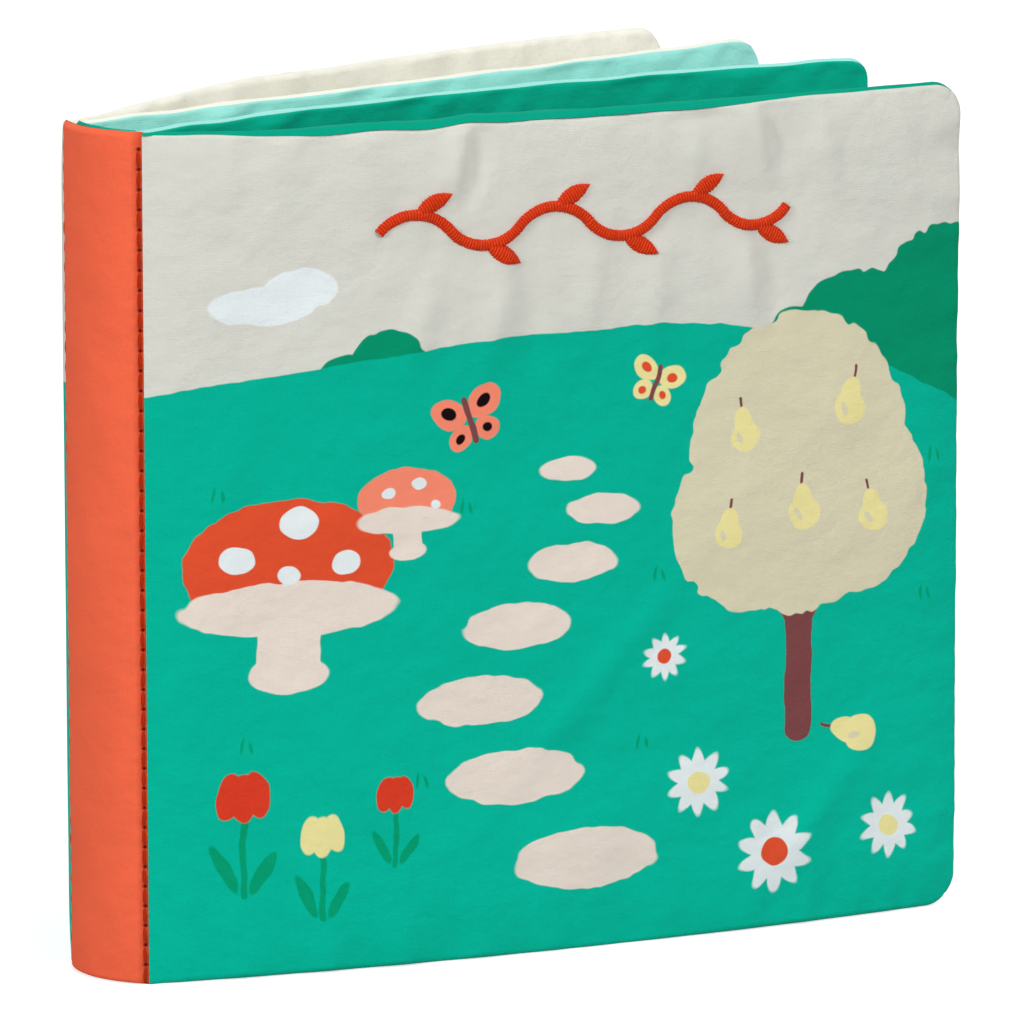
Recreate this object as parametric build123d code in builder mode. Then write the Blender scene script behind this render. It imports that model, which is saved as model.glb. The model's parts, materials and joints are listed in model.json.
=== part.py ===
"""A padded cloth book that stands on its lower edges, fanned open.

Frame: +Z up, +X from the spine towards the free edges, -Y on the front cover's side.
The origin lies on the floor, in the middle of the strip that joins the two leaves.
Millimetres and degrees.
"""
import os
from math import cos, radians, sin

from build123d import *

# Driving dimensions
height = 180.0  # from the floor to the top seam
cover_width = 186.0  # from a hinge line to the free edge, along the cloth
leaf_width = 186.0  # from the strip to the free edge, along the cloth
corner_radius = 10.0  # at the free edge, above and below
cover_thickness = 6.4
leaf_thickness = 4.6
spine_thickness = 3.8
spine_width = 22.9  # between the two hinge lines, in a straight line
strip_inset = 2.3  # from a hinge line's level to the fold of the nearest leaf
spine_slant = 18.0  # how far the spine is turned from square to the fan
fabric = 0.5  # one layer of cloth
seam_thickness = 1.6  # where the layers are sewn together at an edge
strip_thickness = 1.6  # of the strip between the leaves
swell = 16.0  # how far in from a seam a panel reaches its full thickness
spine_swell = 8.0
hem = 2.5  # the pressed edge beside a hinge line, before the swelling starts
wadding_inset = 2.0  # from that pressed edge to the wadding
hinge_gap = 0.5  # between a cover's rounded hinge edge and the spine
spine_bevel = 0.4  # on the spine's outer cut edges, where an opened cover folds back
wadding_ease = 0.1  # between wadding and cloth
strip_ease = 0.25  # between the strip and the lining of the spine that it lies against

# The fan: how each panel leaves the spine, and how much it bows on its way out
front_heading = -8.5
front_bow = 15.0
leaf_1_heading = 22.5
leaf_1_bow = -26.0
leaf_2_heading = 16.5
leaf_2_bow = -1.5
back_heading = 37.5
back_bow = -27.0
spine_bow = -62.0

# Stitches down the spine's edges
stitch_pitch = 4.2
stitch_length = 3.3
stitch_width = 0.8
stitch_height = 0.45
stitch_inset = 1.1  # from the spine's cut edge to the middle of the row

# Embroidered garland on the front cover
garland_start = 50.0  # distance from the hinge line
garland_swings = 6
swing_length = 15.5
swing_height = 3.6
garland_drop = 23.5  # from the top seam to the middle of the stem
leaf_reach = 9.0
leaf_belly = 2.0
leaf_lean = 28.0
stem_width = 1.6
thread_height = 0.7

# Worked out from them
hinge_half = fabric  # a cover's hinge edge is two layers of cloth, rounded
spine_start = hinge_half + hinge_gap
chord_heading = 90 + spine_slant
beyond = 2 * cover_thickness  # how far cutting blocks reach past the cloth


def toward(heading, distance):
    """A step in plan, a distance along a heading."""
    return Vector(distance * cos(radians(heading)), distance * sin(radians(heading)))


class Panel:
    """A padded panel. In plan its middle line is an arc, and it swells between its seams."""

    def __init__(self, start, heading, length, bow, half, root_half, edge_half, ramp, flat):
        self.start = start
        self.heading = heading
        self.length = length
        self.bow = bow
        self.half = half
        self.root_half = root_half
        self.edge_half = edge_half
        self.ramp = ramp
        self.flat = flat
        self.radius = length / radians(bow)
        self.centre = start + toward(heading + 90, self.radius)
        self.chord = heading + bow / 2
        self.reach = (self.at(length) - start).length

    def heading_at(self, distance):
        return self.heading + self.bow * distance / self.length

    def at(self, distance, side=0.0):
        """A plan point on the middle line, or off to its left."""
        return self.centre + toward(self.heading_at(distance) - 90, self.radius - side)

    def swelling(self, edge, inward):
        """Half the thickness at a distance in from an edge."""
        share = min(max(inward, 0), self.ramp) / self.ramp
        return edge + (self.half - edge) * (1 - (1 - share) ** 2)

    def half_at(self, distance, far_flat):
        """Half the thickness along the panel."""
        root = self.swelling(self.root_half, distance - self.flat)
        return min(root, self.swelling(self.edge_half, self.length - distance - far_flat))

    def half_up(self, level):
        """Half the thickness at a level above the floor."""
        return self.swelling(seam_thickness / 2, min(level, height - level))


def cover_panel(start, heading, bow):
    half = cover_thickness / 2
    edge = seam_thickness / 2
    return Panel(start, heading, cover_width, bow, half, hinge_half, edge, swell, hem)


def leaf_panel(start, heading, bow):
    root = strip_thickness / 2
    edge = seam_thickness / 2
    return Panel(start, heading, leaf_width, bow, leaf_thickness / 2, root, edge, swell, 0)


def spine_panel(start):
    half_turn = radians(abs(spine_bow) / 2)
    length = spine_width * half_turn / sin(half_turn)
    heading = chord_heading - spine_bow / 2
    half = spine_thickness / 2
    flat = hem
    return Panel(start, heading, length, spine_bow, half, fabric, fabric, spine_swell, flat)


def rise(skin, foot, middle, top):
    """The swelling in from a seam: an arc outside, and a straight line in the hollow under it."""
    if skin > 0:
        Line(foot, top)
    else:
        ThreePointArc(foot, middle, top)


def plan_side(panel, side, skin, begin, end, far_flat):
    """One long side of a panel's plan: it swells from a seam, runs on and thins to the next seam."""

    def edge(distance):
        return panel.at(distance, side * (panel.half_at(distance, far_flat) - skin))

    near_seam = max(begin, panel.flat)
    full = panel.flat + panel.ramp
    far_seam = min(panel.length - far_flat, end)
    thinning = panel.length - far_flat - panel.ramp
    if begin < near_seam:
        Line(edge(begin), edge(near_seam))
    rise(skin, edge(near_seam), edge((near_seam + full) / 2), edge(full))
    ThreePointArc(edge(full), edge((full + thinning) / 2), edge(thinning))
    rise(skin, edge(thinning), edge((thinning + far_seam) / 2), edge(far_seam))
    if end > far_seam:
        Line(edge(far_seam), edge(end))


def upright_side(panel, side, skin):
    """One side of a panel's section, from under the floor to above the top seam."""

    def edge(level):
        return side * (panel.half_up(level) - skin), level

    Line(edge(-2 * beyond), edge(0))
    rise(skin, edge(0), edge(panel.ramp / 2), edge(panel.ramp))
    Line(edge(panel.ramp), edge(height - panel.ramp))
    rise(skin, edge(height - panel.ramp), edge(height - panel.ramp / 2), edge(height))
    Line(edge(height), edge(height + 2 * beyond))


def pillow(panel, skin, begin, end, far_flat=0.0, nose=False, radius=corner_radius):
    """A panel's closed form, skin inside its outer surface, between two distances along it."""
    near_half = panel.half_at(begin, far_flat) - skin
    far_half = panel.half_at(min(end, panel.length), far_flat) - skin
    with BuildPart() as body:
        with BuildSketch(Plane.XY.offset(-beyond)):
            with BuildLine():
                plan_side(panel, 1, skin, begin, end, far_flat)
                plan_side(panel, -1, skin, begin, end, far_flat)
                left = panel.at(begin, near_half)
                right = panel.at(begin, -near_half)
                if nose:
                    ThreePointArc(left, panel.at(begin - near_half), right)
                else:
                    Line(left, right)
                Line(panel.at(end, far_half), panel.at(end, -far_half))
            make_face()
        extrude(amount=height + 2 * beyond)

        # The outline seen from the side, with its two rounded corners
        right_normal = toward(panel.chord - 90, 1)
        side_view = Plane(panel.start, x_dir=toward(panel.chord, 1), z_dir=right_normal)
        tall = height - 2 * skin
        with BuildSketch(side_view):
            with Locations((panel.reach - skin, skin)):
                Rectangle(panel.reach + beyond, tall, align=(Align.MAX, Align.MIN))
            if radius > 0:
                fillet(vertices().group_by(Axis.X)[-1], radius - skin)
        extrude(amount=panel.reach / 2, both=True, mode=Mode.INTERSECT)

        # The same swelling between the bottom and top seams, turned about the middle of the bow
        heading = panel.heading_at(-beyond)
        left_normal = toward(heading + 90, 1)
        across = Plane(panel.at(-beyond), x_dir=left_normal, z_dir=toward(heading, 1))
        seam_half = seam_thickness / 2 - skin
        with BuildSketch(across):
            with BuildLine():
                upright_side(panel, 1, skin)
                upright_side(panel, -1, skin)
                for level in (-2 * beyond, height + 2 * beyond):
                    Line((seam_half, level), (-seam_half, level))
            make_face()
        turn = panel.bow * (panel.length + 2 * beyond) / panel.length
        turning = Axis(panel.centre, (0, 0, 1 if turn > 0 else -1))
        revolve(axis=turning, revolution_arc=abs(turn), mode=Mode.INTERSECT)
    return body.part


def beside(panel, side):
    """The block on one side of a panel's middle line."""
    far = panel.length + beyond
    middle = panel.length / 2
    away = side * beyond
    with BuildPart() as block:
        with BuildSketch():
            with BuildLine():
                ThreePointArc(panel.at(-beyond), panel.at(middle), panel.at(far))
                Line(panel.at(far), panel.at(far, away))
                ThreePointArc(panel.at(far, away), panel.at(middle, away), panel.at(-beyond, away))
                Line(panel.at(-beyond, away), panel.at(-beyond))
            make_face()
        extrude(amount=height)
    return block.part


def lining_depth(panel, distance):
    """How far the spine's inner face lies outside the line between the hinges."""
    inner = panel.at(distance, -panel.half_at(distance, hem)) - panel.start
    return inner.dot(toward(chord_heading + 90, 1))


# The strip lies against the spine's lining, and its middle is the origin
spine_form = spine_panel(Vector(0, 0))
middle_part = spine_form.length - 2 * hem
depths = [lining_depth(spine_form, hem + middle_part * step / 20) for step in range(21)]
strip_offset = strip_thickness / 2 + strip_ease - min(depths)
strip_width = spine_width - 2 * strip_inset
front_fold = toward(chord_heading, -strip_width / 2)
back_fold = toward(chord_heading, strip_width / 2)
spine_middle = toward(chord_heading + 90, strip_offset)
front_hinge = spine_middle + toward(chord_heading, -spine_width / 2)
back_hinge = spine_middle + toward(chord_heading, spine_width / 2)

front = cover_panel(front_hinge, front_heading, front_bow)
back = cover_panel(back_hinge, back_heading, back_bow)
leaf_1 = leaf_panel(front_fold, leaf_1_heading, leaf_1_bow)
leaf_2 = leaf_panel(back_fold, leaf_2_heading, leaf_2_bow)
spine = spine_panel(front_hinge)
front_end = cover_width + beyond / 2
leaf_end = leaf_width + beyond / 2
spine_end = spine.length - spine_start
cavity_start = hem + wadding_inset
cavity_end = spine.length - cavity_start

spine_mid_height = Vector(0, 0, height / 2)

front_body = pillow(front, 0, 0, front_end, nose=True)
front_cavity = pillow(front, fabric, cavity_start, front_end)
back_body = pillow(back, 0, 0, front_end, nose=True)
back_cavity = pillow(back, fabric, cavity_start, front_end)
spine_body = pillow(spine, 0, spine_start, spine_end, hem, radius=0)
spine_cavity = pillow(spine, fabric, cavity_start, cavity_end, hem, radius=0)

# Front cover
with BuildPart() as front_cover_outer:
    add(front_body)
    add(front_cavity, mode=Mode.SUBTRACT)
    add(beside(front, -1), mode=Mode.INTERSECT)

with BuildPart() as front_cover_lining:
    add(front_body)
    add(front_cavity, mode=Mode.SUBTRACT)
    add(beside(front, 1), mode=Mode.INTERSECT)

with BuildPart() as front_cover_wadding:
    add(pillow(front, fabric + wadding_ease, cavity_start + wadding_ease, front_end))

# Back cover
with BuildPart() as back_cover_outer:
    add(back_body)
    add(back_cavity, mode=Mode.SUBTRACT)
    add(beside(back, 1), mode=Mode.INTERSECT)

with BuildPart() as back_cover_lining:
    add(back_body)
    add(back_cavity, mode=Mode.SUBTRACT)
    add(beside(back, -1), mode=Mode.INTERSECT)

with BuildPart() as back_cover_wadding:
    add(pillow(back, fabric + wadding_ease, cavity_start + wadding_ease, front_end))

# Spine
with BuildPart() as spine_outer:
    add(spine_body)
    add(spine_cavity, mode=Mode.SUBTRACT)
    add(beside(spine, 1), mode=Mode.INTERSECT)
    cut_edges = (spine.at(spine_start, fabric), spine.at(spine_end, fabric))
    upright_edges = edges().filter_by(Axis.Z)
    outer_corners = [upright_edges.sort_by_distance(corner + spine_mid_height)[0] for corner in cut_edges]
    chamfer(outer_corners, spine_bevel)

with BuildPart() as spine_lining:
    add(spine_body)
    add(spine_cavity, mode=Mode.SUBTRACT)
    add(beside(spine, -1), mode=Mode.INTERSECT)

with BuildPart() as spine_wadding:
    eased = cavity_start + wadding_ease
    add(pillow(spine, fabric + wadding_ease, eased, spine.length - eased, hem, radius=0))

# Two leaves and the strip between them, folded from one sewn sheet
with BuildPart() as pages:
    with BuildSketch(Plane.XY.rotated((0, 0, chord_heading))):
        SlotCenterToCenter(strip_width, strip_thickness)
    extrude(amount=height)
    add(pillow(leaf_1, 0, 0, leaf_end))
    add(pillow(leaf_2, 0, 0, leaf_end))


def stitch_row(place):
    """A row of short stitches that lies on the spine's outer face, a distance along it."""
    count = int((height - stitch_pitch) / stitch_pitch)
    row_face = Plane(
        spine.at(place) + Vector(0, 0, height / 2),
        x_dir=toward(spine.heading_at(place), 1),
        z_dir=toward(spine.heading_at(place) + 90, 1),
    )
    with BuildPart() as row:
        with BuildSketch(row_face):
            with GridLocations(stitch_width, stitch_pitch, 1, count):
                Rectangle(stitch_width, stitch_length)
        extrude(amount=spine_thickness)
        add(pillow(spine, -stitch_height, spine_start, spine_end, hem, radius=0), mode=Mode.INTERSECT)
        add(spine_body, mode=Mode.SUBTRACT)
    return row.part


with BuildPart() as front_stitching:
    add(stitch_row(spine_start + stitch_inset))

with BuildPart() as back_stitching:
    add(stitch_row(spine_end - stitch_inset))

def stroke(near, over, away):
    """A curved stroke of thread in the sketch at work."""
    with BuildLine(mode=Mode.PRIVATE) as path:
        ThreePointArc(near, over, away)
    trace(path.line, stem_width)


def thread_leaf(base, lean):
    """A pointed leaf in the sketch at work, from its base on the stem."""
    tip = base + Vector(leaf_reach, 0).rotate(Axis.Z, lean)
    belly = Vector(0, leaf_belly).rotate(Axis.Z, lean)
    middle = (base + tip) / 2
    with BuildLine(mode=Mode.PRIVATE) as edge:
        ThreePointArc(base, middle + belly, tip)
        ThreePointArc(tip, middle - belly, base)
    make_face(edge.edges())


# Raised satin stitching: a waving stem with a leaf on each swing
with BuildPart() as front_cover_embroidery:
    along = toward(front.chord, 1)
    outward = toward(front.chord - 90, 1)
    crown = front.at(cover_width / 2)
    cover_face = Plane(crown - along * front.reach / 2, x_dir=along, z_dir=outward)
    with BuildSketch(cover_face):
        for swing in range(garland_swings):
            up = 1 if swing % 2 == 0 else -1
            start = Vector(garland_start + swing * swing_length, height - garland_drop)
            crest = start + Vector(swing_length / 2, up * swing_height)
            stroke(start, crest, start + Vector(swing_length, 0))
            thread_leaf(crest, up * leaf_lean)
    extrude(amount=beyond)
    add(pillow(front, -thread_height, hem, front_end), mode=Mode.INTERSECT)
    add(front_body, mode=Mode.SUBTRACT)

pieces = {
    "front_cover_outer": front_cover_outer,
    "front_cover_wadding": front_cover_wadding,
    "front_cover_lining": front_cover_lining,
    "back_cover_outer": back_cover_outer,
    "back_cover_wadding": back_cover_wadding,
    "back_cover_lining": back_cover_lining,
    "spine_outer": spine_outer,
    "spine_wadding": spine_wadding,
    "spine_lining": spine_lining,
    "pages": pages,
    "front_stitching": front_stitching,
    "back_stitching": back_stitching,
    "front_cover_embroidery": front_cover_embroidery,
}
os.makedirs("parts", exist_ok=True)
for name, piece in pieces.items():
    piece.part.label = name
    export_step(piece.part, f"parts/{name}.step")
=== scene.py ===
# %% [markdown]
# # A padded cloth book that stands fanned open
# The frame holds the book's solids at their real size. This lesson dresses them in cloth: rolled
# seams, puckers, stitches and a print. Everything is in metres, with +Z up, and sizes that are
# easier to read in millimetres are multiplied by MM.

# %% Load the frame
import json
from math import atan2, cos, exp, pi, radians, sin, sqrt

import bmesh
import bpy
from mathutils import Euler, Matrix, Vector, noise


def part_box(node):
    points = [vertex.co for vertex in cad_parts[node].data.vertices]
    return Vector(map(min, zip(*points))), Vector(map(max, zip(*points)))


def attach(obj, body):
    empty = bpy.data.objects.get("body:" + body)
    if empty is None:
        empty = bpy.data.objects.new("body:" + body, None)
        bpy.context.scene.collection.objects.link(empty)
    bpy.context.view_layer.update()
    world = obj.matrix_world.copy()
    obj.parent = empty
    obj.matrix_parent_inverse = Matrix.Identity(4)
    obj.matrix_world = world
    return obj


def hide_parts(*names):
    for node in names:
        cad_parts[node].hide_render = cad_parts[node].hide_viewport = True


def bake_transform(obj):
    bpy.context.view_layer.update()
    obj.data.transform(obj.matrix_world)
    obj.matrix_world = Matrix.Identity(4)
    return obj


MM = 0.001
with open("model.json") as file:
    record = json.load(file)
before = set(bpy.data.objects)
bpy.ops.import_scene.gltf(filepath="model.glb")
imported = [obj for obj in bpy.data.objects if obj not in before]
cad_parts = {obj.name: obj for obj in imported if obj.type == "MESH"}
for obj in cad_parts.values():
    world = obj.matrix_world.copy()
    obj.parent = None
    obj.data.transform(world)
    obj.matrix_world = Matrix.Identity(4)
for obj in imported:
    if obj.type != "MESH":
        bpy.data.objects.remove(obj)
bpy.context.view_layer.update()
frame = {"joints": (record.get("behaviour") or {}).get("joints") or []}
hinges = {joint["name"]: Vector(joint["pos_m"]) for joint in frame["joints"]}
front_hinge = hinges["front_cover_hinge"]
back_hinge = hinges["back_cover_hinge"]
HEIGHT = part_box("front_cover_outer")[1][2]
print("book height", round(HEIGHT, 4))

# %% [markdown]
# The picture is taken from above and across the front cover. The upright edges run almost parallel
# in it, so the camera stands nearly two metres away with a long lens, and looks down by 11 degrees.

# %% Camera
camera_data = bpy.data.cameras.new("camera")
camera = bpy.data.objects.new("camera", camera_data)
bpy.context.scene.collection.objects.link(camera)
camera_data.lens = 317.08
camera_data.sensor_width = 36.0
camera_data.clip_end = 30.0
camera.location = front_hinge + Vector((-0.66661, -1.70370, 0.46637))
camera.rotation_euler = Euler((radians(78.681), radians(0.043), radians(-23.756)))
bpy.context.scene.camera = camera

# %% [markdown]
# Each panel of the book is a flat pillow that bows in plan. A class keeps where it starts, where it
# heads and how much it bows, and turns a place on the cloth into a place in the room. The cloth,
# thread and print are all worked out flat, as a sewer would lay them out, and bent at the end.


# %% Panels
ROOT_FADE = 40 * MM  # how far along a panel a pull at its root is still felt


def toward(heading, distance):
    return Vector((distance * cos(radians(heading)), distance * sin(radians(heading)), 0))


class Panel:
    """Where a panel runs in plan. Along is from its root, and side is to its left."""

    def __init__(self, start, heading, length, bow, shift=Vector()):
        self.heading = heading
        self.length = length
        self.bow = bow
        self.radius = length / radians(bow)
        self.centre = start + toward(heading + 90, self.radius)
        self.shift = shift  # how far the root is pulled aside, fading out along the panel

    def at(self, along, side, up):
        heading = self.heading + self.bow * along / self.length
        point = self.centre + toward(heading - 90, self.radius - side)
        point += self.shift * max(1 - max(along, 0) / ROOT_FADE, 0) ** 2
        return Vector((point.x, point.y, up))


COVER_WIDTH = 186 * MM
LEAF_WIDTH = 186 * MM
STRIP_HALF = 9.15 * MM
SPINE_WIDTH = 23.2 * MM
SPINE_BOW = -62.0
CHORD_HEADING = 108.0
half_turn = radians(-SPINE_BOW / 2)
spine_length = SPINE_WIDTH * half_turn / sin(half_turn)
front = Panel(front_hinge, -8.5, COVER_WIDTH, 15.0)
leaf_1 = Panel(toward(CHORD_HEADING, -STRIP_HALF), 22.5, LEAF_WIDTH, -26.0)
leaf_2 = Panel(toward(CHORD_HEADING, STRIP_HALF), 16.5, LEAF_WIDTH, -1.5)
SPINE_TURN = 2.5  # how far the worn spine leans past its flat line
spine = Panel(front_hinge, CHORD_HEADING + SPINE_TURN - SPINE_BOW / 2, spine_length, SPINE_BOW)
back = Panel(back_hinge, 37.5, COVER_WIDTH, -27.0, spine.at(spine_length, 0, 0) - back_hinge)

# %% [markdown]
# The cloth's section is the same along every seam: it rolls round the edge in a quarter circle and
# then rises gently to the middle of the pillow. Distance is measured over the cloth from the crest
# of the edge, and is negative on the other side of the crest. The seam itself is a narrow valley.


# %% The section of a turned seam
def section(distance, roll, half, ramp):
    """(side, inset) of the cloth, a distance over it from the crest of the edge."""
    quarter = roll * pi / 2
    over = abs(distance)
    sign = 1 if distance >= 0 else -1
    if over <= quarter:
        return sign * roll * sin(over / roll), roll * (1 - cos(over / roll))
    share = min((over - quarter) / ramp, 1)
    return sign * (roll + (half - roll) * (1 - (1 - share) ** 2)), roll + over - quarter


def softer(a, b, blur):
    """The smaller of two values, rounded where they meet."""
    gap = max(blur - abs(a - b), 0) / blur
    return min(a, b) - gap * gap * blur / 4


def rounded(along, up, length, radius):
    """Moves a point of a rectangle so that the two corners at its far side are round."""
    corner_along = along - (length - radius)
    over = up - (HEIGHT - radius)
    corner_up = max(over, radius - up)
    if corner_along <= 0 or corner_up <= 0:
        return along, up
    reach = max(corner_along, corner_up)
    angle = min(corner_along, corner_up) / reach * pi / 4
    far, near = reach * cos(angle), reach * sin(angle)
    if corner_up > corner_along:
        far, near = near, far
    level = HEIGHT - radius + near if over > 0 else radius - near
    return length - radius + far, level


def hill(value, middle, width):
    """1 at the middle and almost 0 two widths away."""
    return exp(-(((value - middle) / width) ** 2))


def ripple(x, y, seed):
    return noise.noise(Vector((x, y, seed)))


# %% [markdown]
# A skin starts as one flat grid, finer towards its edges. Each point is moved onto the section of
# the seams, into the rounded outline, sideways by the wrinkles and last onto the bowed panel.
# Its flat place in millimetres is kept as a map, so that weave and print follow the cloth.


# %% Cloth skins
def new_piece(name, bm, materials, slot, *nodes):
    mesh = bpy.data.meshes.new(name)
    bm.to_mesh(mesh)
    bm.free()
    mesh.polygons.foreach_set("use_smooth", [True] * len(mesh.polygons))
    for material in materials:
        mesh.materials.append(material)
    piece = bpy.data.objects.new(name, mesh)
    bpy.context.scene.collection.objects.link(piece)
    if nodes:
        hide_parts(*nodes)
    print(name, len(mesh.polygons), "faces")
    return piece


def flat_grid(columns, rows):
    """A grid from (0, 0) to (1, 1) with an empty cloth map."""
    bm = bmesh.new()
    bm.loops.layers.uv.new("cloth")
    bmesh.ops.create_grid(bm, x_segments=columns, y_segments=rows, size=0.5, calc_uvs=False)
    bmesh.ops.translate(bm, verts=bm.verts, vec=(0.5, 0.5, 0))
    return bm


def write_cloth_map(bm, flat):
    """Writes each point's flat place, in millimetres, into the cloth map."""
    cloth_map = bm.loops.layers.uv["cloth"]
    for vert, place in flat.items():
        for loop in vert.link_loops:
            loop[cloth_map].uv = place


def finer_at_ends(share, strength):
    """Moves a share from 0 to 1 so that a grid's lines crowd at both ends."""
    return share - strength * sin(2 * pi * share) / (2 * pi)


SEAM_DEPTH = 0.55 * MM
SEAM_REACH = 0.55 * MM
SKIN_CROWDING = 0.72
SEAM_CALM = 2.5 * MM  # wrinkles reach their full height this far from a seam
ROOT_CALM = 16 * MM  # and this far from the spine


class Pillow:
    """One padded panel: the sizes of its section, and how far one cloth rolls over the seam."""

    def __init__(self, panel, half, roll, ramp, corner, root_half, root_ramp, lip):
        self.panel = panel
        self.half = half
        self.roll = roll
        self.ramp = ramp
        self.corner = corner
        self.root_half = root_half
        self.root_ramp = root_ramp
        self.lip = lip
        self.slack = roll * pi / 2 - roll

    def place(self, u, v, face):
        """(along, side, up, from_seam) for a share of the cloth. Face is 1 on the lip's side."""
        far = (1 - u) * (self.panel.length + self.slack)
        half_height = HEIGHT / 2 + self.slack
        lip = self.lip(u * self.panel.length / MM) * MM
        if v > 0.5:
            from_seam_z = (1 - v) * 2 * (half_height + face * lip)
            from_crest = from_seam_z - face * lip
        else:
            from_seam_z = v * 2 * half_height
            from_crest = from_seam_z
        side_s, inset_s = section(far, self.roll, self.half, self.ramp)
        side_z, inset_z = section(from_crest, self.roll, self.half, self.ramp)
        side = softer(side_s, side_z, self.roll)
        share = min(u * self.panel.length / self.root_ramp, 1)
        root = self.root_half + (self.half - self.root_half) * (1 - (1 - share) ** 2)
        side = softer(side, root, self.roll)
        up = HEIGHT - inset_z if v > 0.5 else inset_z
        along, up = rounded(self.panel.length - inset_s, up, self.panel.length, self.corner)
        return along, side, up, min(far, from_seam_z)


def pillow_skin(pillow, direction, face, columns, wrinkle, shape):
    """One skin of a pillow as a bmesh, on the left of its panel (direction 1) or the right (-1)."""
    bm = flat_grid(columns, columns)
    flat = {}
    for vert in bm.verts:
        u = finer_at_ends(vert.co.x, SKIN_CROWDING)
        v = finer_at_ends(vert.co.y, SKIN_CROWDING)
        along, side, up, from_seam = pillow.place(u, v, face)
        flat[vert] = (along / MM, up / MM)
        near_seam = min(from_seam / SEAM_CALM, 1)
        near_root = min(max(along, 0) / ROOT_CALM, 1)
        side += wrinkle(along / MM, up / MM) * MM * near_seam * near_root
        valley = SEAM_DEPTH * exp(-((from_seam / SEAM_REACH) ** 2))
        side -= valley * min(max(side / pillow.roll, 0), 1)
        along -= valley * hill(along, pillow.panel.length, pillow.roll)
        up -= valley * hill(up, HEIGHT, pillow.roll)
        up = shape(along / MM, up / MM) * MM
        vert.co = pillow.panel.at(along, direction * side, max(up, 0))
    write_cloth_map(bm, flat)
    if direction > 0:
        bmesh.ops.reverse_faces(bm, faces=bm.faces)
    return bm


# %% [markdown]
# Wrinkles are what makes flat cloth look sewn and stuffed. Three kinds are added here: short
# puckers that run in from a seam, longer soft folds, most of them round the embroidery, and a slow
# unevenness of the wadding. All heights are in millimetres.


# %% Wrinkles
def seam_puckers(edge_place, from_seam, seed):
    """Short folds square to a seam. They fade about 15 mm in from it."""
    fine = ripple(edge_place / 3.4, from_seam / 16, seed)
    broad = ripple(edge_place / 8.5, from_seam / 40, seed + 4)
    return 0.42 * fine * exp(-from_seam / 4.5) + 0.75 * broad * exp(-from_seam / 13)


def puckers(along, up, seed):
    low = seam_puckers(along, up, seed)
    high = seam_puckers(along, HEIGHT / MM - up, seed + 9)
    far = seam_puckers(up, COVER_WIDTH / MM - along, seed + 17)
    return low + high + far


def wadding(along, up, seed):
    return 0.85 * ripple(along / 42, up / 42, seed) + 0.50 * ripple(along / 17, up / 17, seed + 3)


GARLAND_LEVEL = 156.5
SEWN_FROM, SEWN_TO, SEWN_FADE = 44, 150, 6  # the stretch of cloth that the embroidery pulls down
FOLD_STRENGTH = 1.35
FOLDS = (
    # along, up, lean, reach up and down, width, height
    (67, 171, 0.10, 9, 2.4, 1.15),
    (71.5, 171, 0.12, 8, 2.2, -1.2),
    (136, 172, -0.25, 7, 2.2, 1.0),
    (140, 171, -0.30, 7, 2.4, -1.0),
    (76, 138, 0.10, 11, 3.0, 1.0),
    (84, 136, -0.05, 10, 2.6, -1.0),
    (97, 140, 0.05, 9, 3.0, 0.8),
    (60, 139, 0.2, 9, 3.0, 0.8),
    (112, 141, 0.0, 9, 3.4, 0.8),
    (121, 170, 0.15, 6, 2.6, 0.7),
    (133, 143, -0.1, 9, 3.0, 0.9),
    (139, 141, -0.15, 9, 2.6, -0.8),
    (152, 168, -0.25, 8, 3.2, 0.7),
    (100, 60, 0.9, 22, 5.0, 0.6),
    (46, 40, -0.7, 18, 5.0, 0.55),
    (150, 24, 0.8, 14, 4.5, 0.6),
)


def front_wrinkle(along, up):
    height = puckers(along, up, 2.1) * 1.35 + wadding(along, up, 1.7)
    for fold_along, fold_up, lean, reach, width, rise in FOLDS:
        across = along - fold_along - lean * (up - fold_up)
        height += FOLD_STRENGTH * rise * hill(across, 0, width) * hill(up, fold_up, reach)
    start = min(max((along - SEWN_FROM) / SEWN_FADE, 0), 1)
    end = min(max((SEWN_TO - along) / SEWN_FADE, 0), 1)
    sewn = hill(up, GARLAND_LEVEL, 9) * (start * end)
    return height - 0.45 * sewn + 0.50 * sewn * ripple(along / 3.2, up / 7, 8.8)


def inner_wrinkle(along, up):
    return puckers(along, up, 5.5) + wadding(along, up, 9.2)


def leaf_wrinkle(along, up):
    leaning = along + 0.8 * (HEIGHT / MM - up)
    top = exp(-max(HEIGHT / MM - up, 0) / 12)
    diagonal = 1.35 * ripple(leaning / 7, up / 50, 3.3) * top
    return puckers(along, up, 12.4) * 1.3 + wadding(along, up, 4.4) + diagonal


def back_wrinkle(along, up):
    return puckers(along, up, 21.4) * 1.4 + wadding(along, up, 14.4)


# %% [markdown]
# ## Materials
# Woven cotton scatters light evenly, so it is rough with a little sheen. One shader group makes the
# cloth of every piece: it mottles the colour that goes in, and gives a normal with the weave's
# threads and a faint crumple. It reads the cloth map, which is in millimetres.


# %% Node helpers
def srgb(r, g, b):
    def linear(c):
        c = c / 255
        return c / 12.92 if c <= 0.04045 else ((c + 0.055) / 1.055) ** 2.4

    return (linear(r), linear(g), linear(b), 1)


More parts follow.
